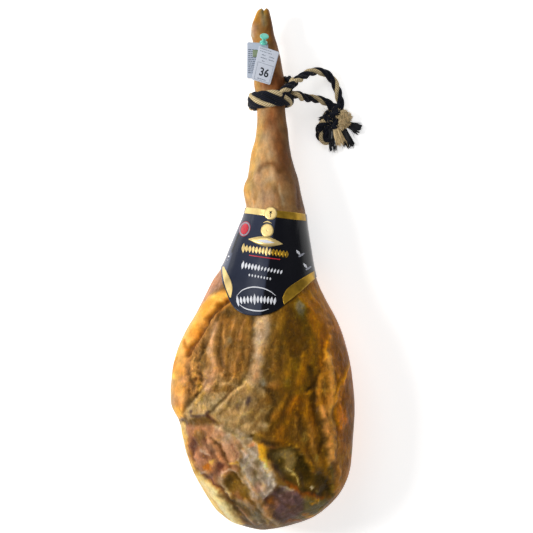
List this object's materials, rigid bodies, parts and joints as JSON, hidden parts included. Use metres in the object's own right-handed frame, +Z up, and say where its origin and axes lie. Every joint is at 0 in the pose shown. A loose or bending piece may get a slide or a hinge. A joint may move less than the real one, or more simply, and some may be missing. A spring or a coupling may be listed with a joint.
{
  "type": "cured ham",
  "caption": "Whole bone-in cured ham lying on its skin side, with a plain wrapped label card, pinned tags and a knotted hanging rope round the shank.",
  "frame": {"origin": "centre of the ham's footprint, on the surface it lies on", "axes": "+Y from the butt to the shank tip, +Z up out of the lean (cut) side, +X to the side the rope lies on"},
  "size_m": [0.2763, 0.7518, 0.1542],
  "materials": {
    "cured_meat": "satin, slightly greasy",
    "label_card": "glossy laminated card",
    "tag_board": "matt white board",
    "pin_steel": "bright",
    "pin_plastic": "glossy moulded",
    "rope": "twisted yarn",
    "rope_dark": "frayed yarn",
    "rope_cream": "frayed yarn"
  },
  "bodies": {
    "root": {"ham": "cured_meat", "label_wrap": "label_card", "tag_back": "tag_board", "tag_front": "tag_board", "pin_needle": "pin_steel", "push_pin_head": "pin_plastic", "rope_wrap": "rope", "rope_leg_upper": "rope", "rope_leg_lower": "rope", "rope_knot": "rope", "tuft_dark_left": "rope_dark", "tuft_cream_ball": "rope_cream", "tuft_dark_right": "rope_dark", "tuft_dark_lower": "rope_dark", "tuft_cream_lower": "rope_cream", "tuft_dark_bottom": "rope_dark"}
  },
  "joints": []
}
